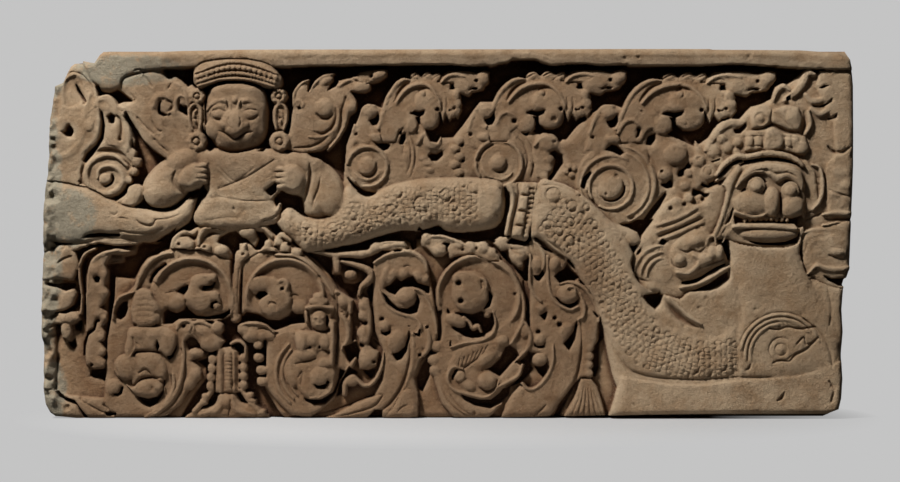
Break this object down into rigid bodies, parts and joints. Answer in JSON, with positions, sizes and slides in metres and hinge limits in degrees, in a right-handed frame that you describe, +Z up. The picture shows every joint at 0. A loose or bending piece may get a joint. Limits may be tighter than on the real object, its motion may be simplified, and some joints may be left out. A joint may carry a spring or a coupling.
{
  "type": "carved lintel",
  "caption": "Carved stone lintel block: a bird man grips a many headed serpent under a plain lip, with curling leaves above and foliage scrolls below.",
  "frame": {"origin": "middle of the flat underside, at half the block's length and half its full thickness", "axes": "+X along the length to the right of someone who faces the carving, +Z up, the carved face towards -Y"},
  "size_m": [1.2221, 0.1699, 0.5564],
  "materials": {
    "sandstone": "weathered, matt"
  },
  "bodies": {
    "root": {"lintel": "sandstone"}
  },
  "joints": []
}
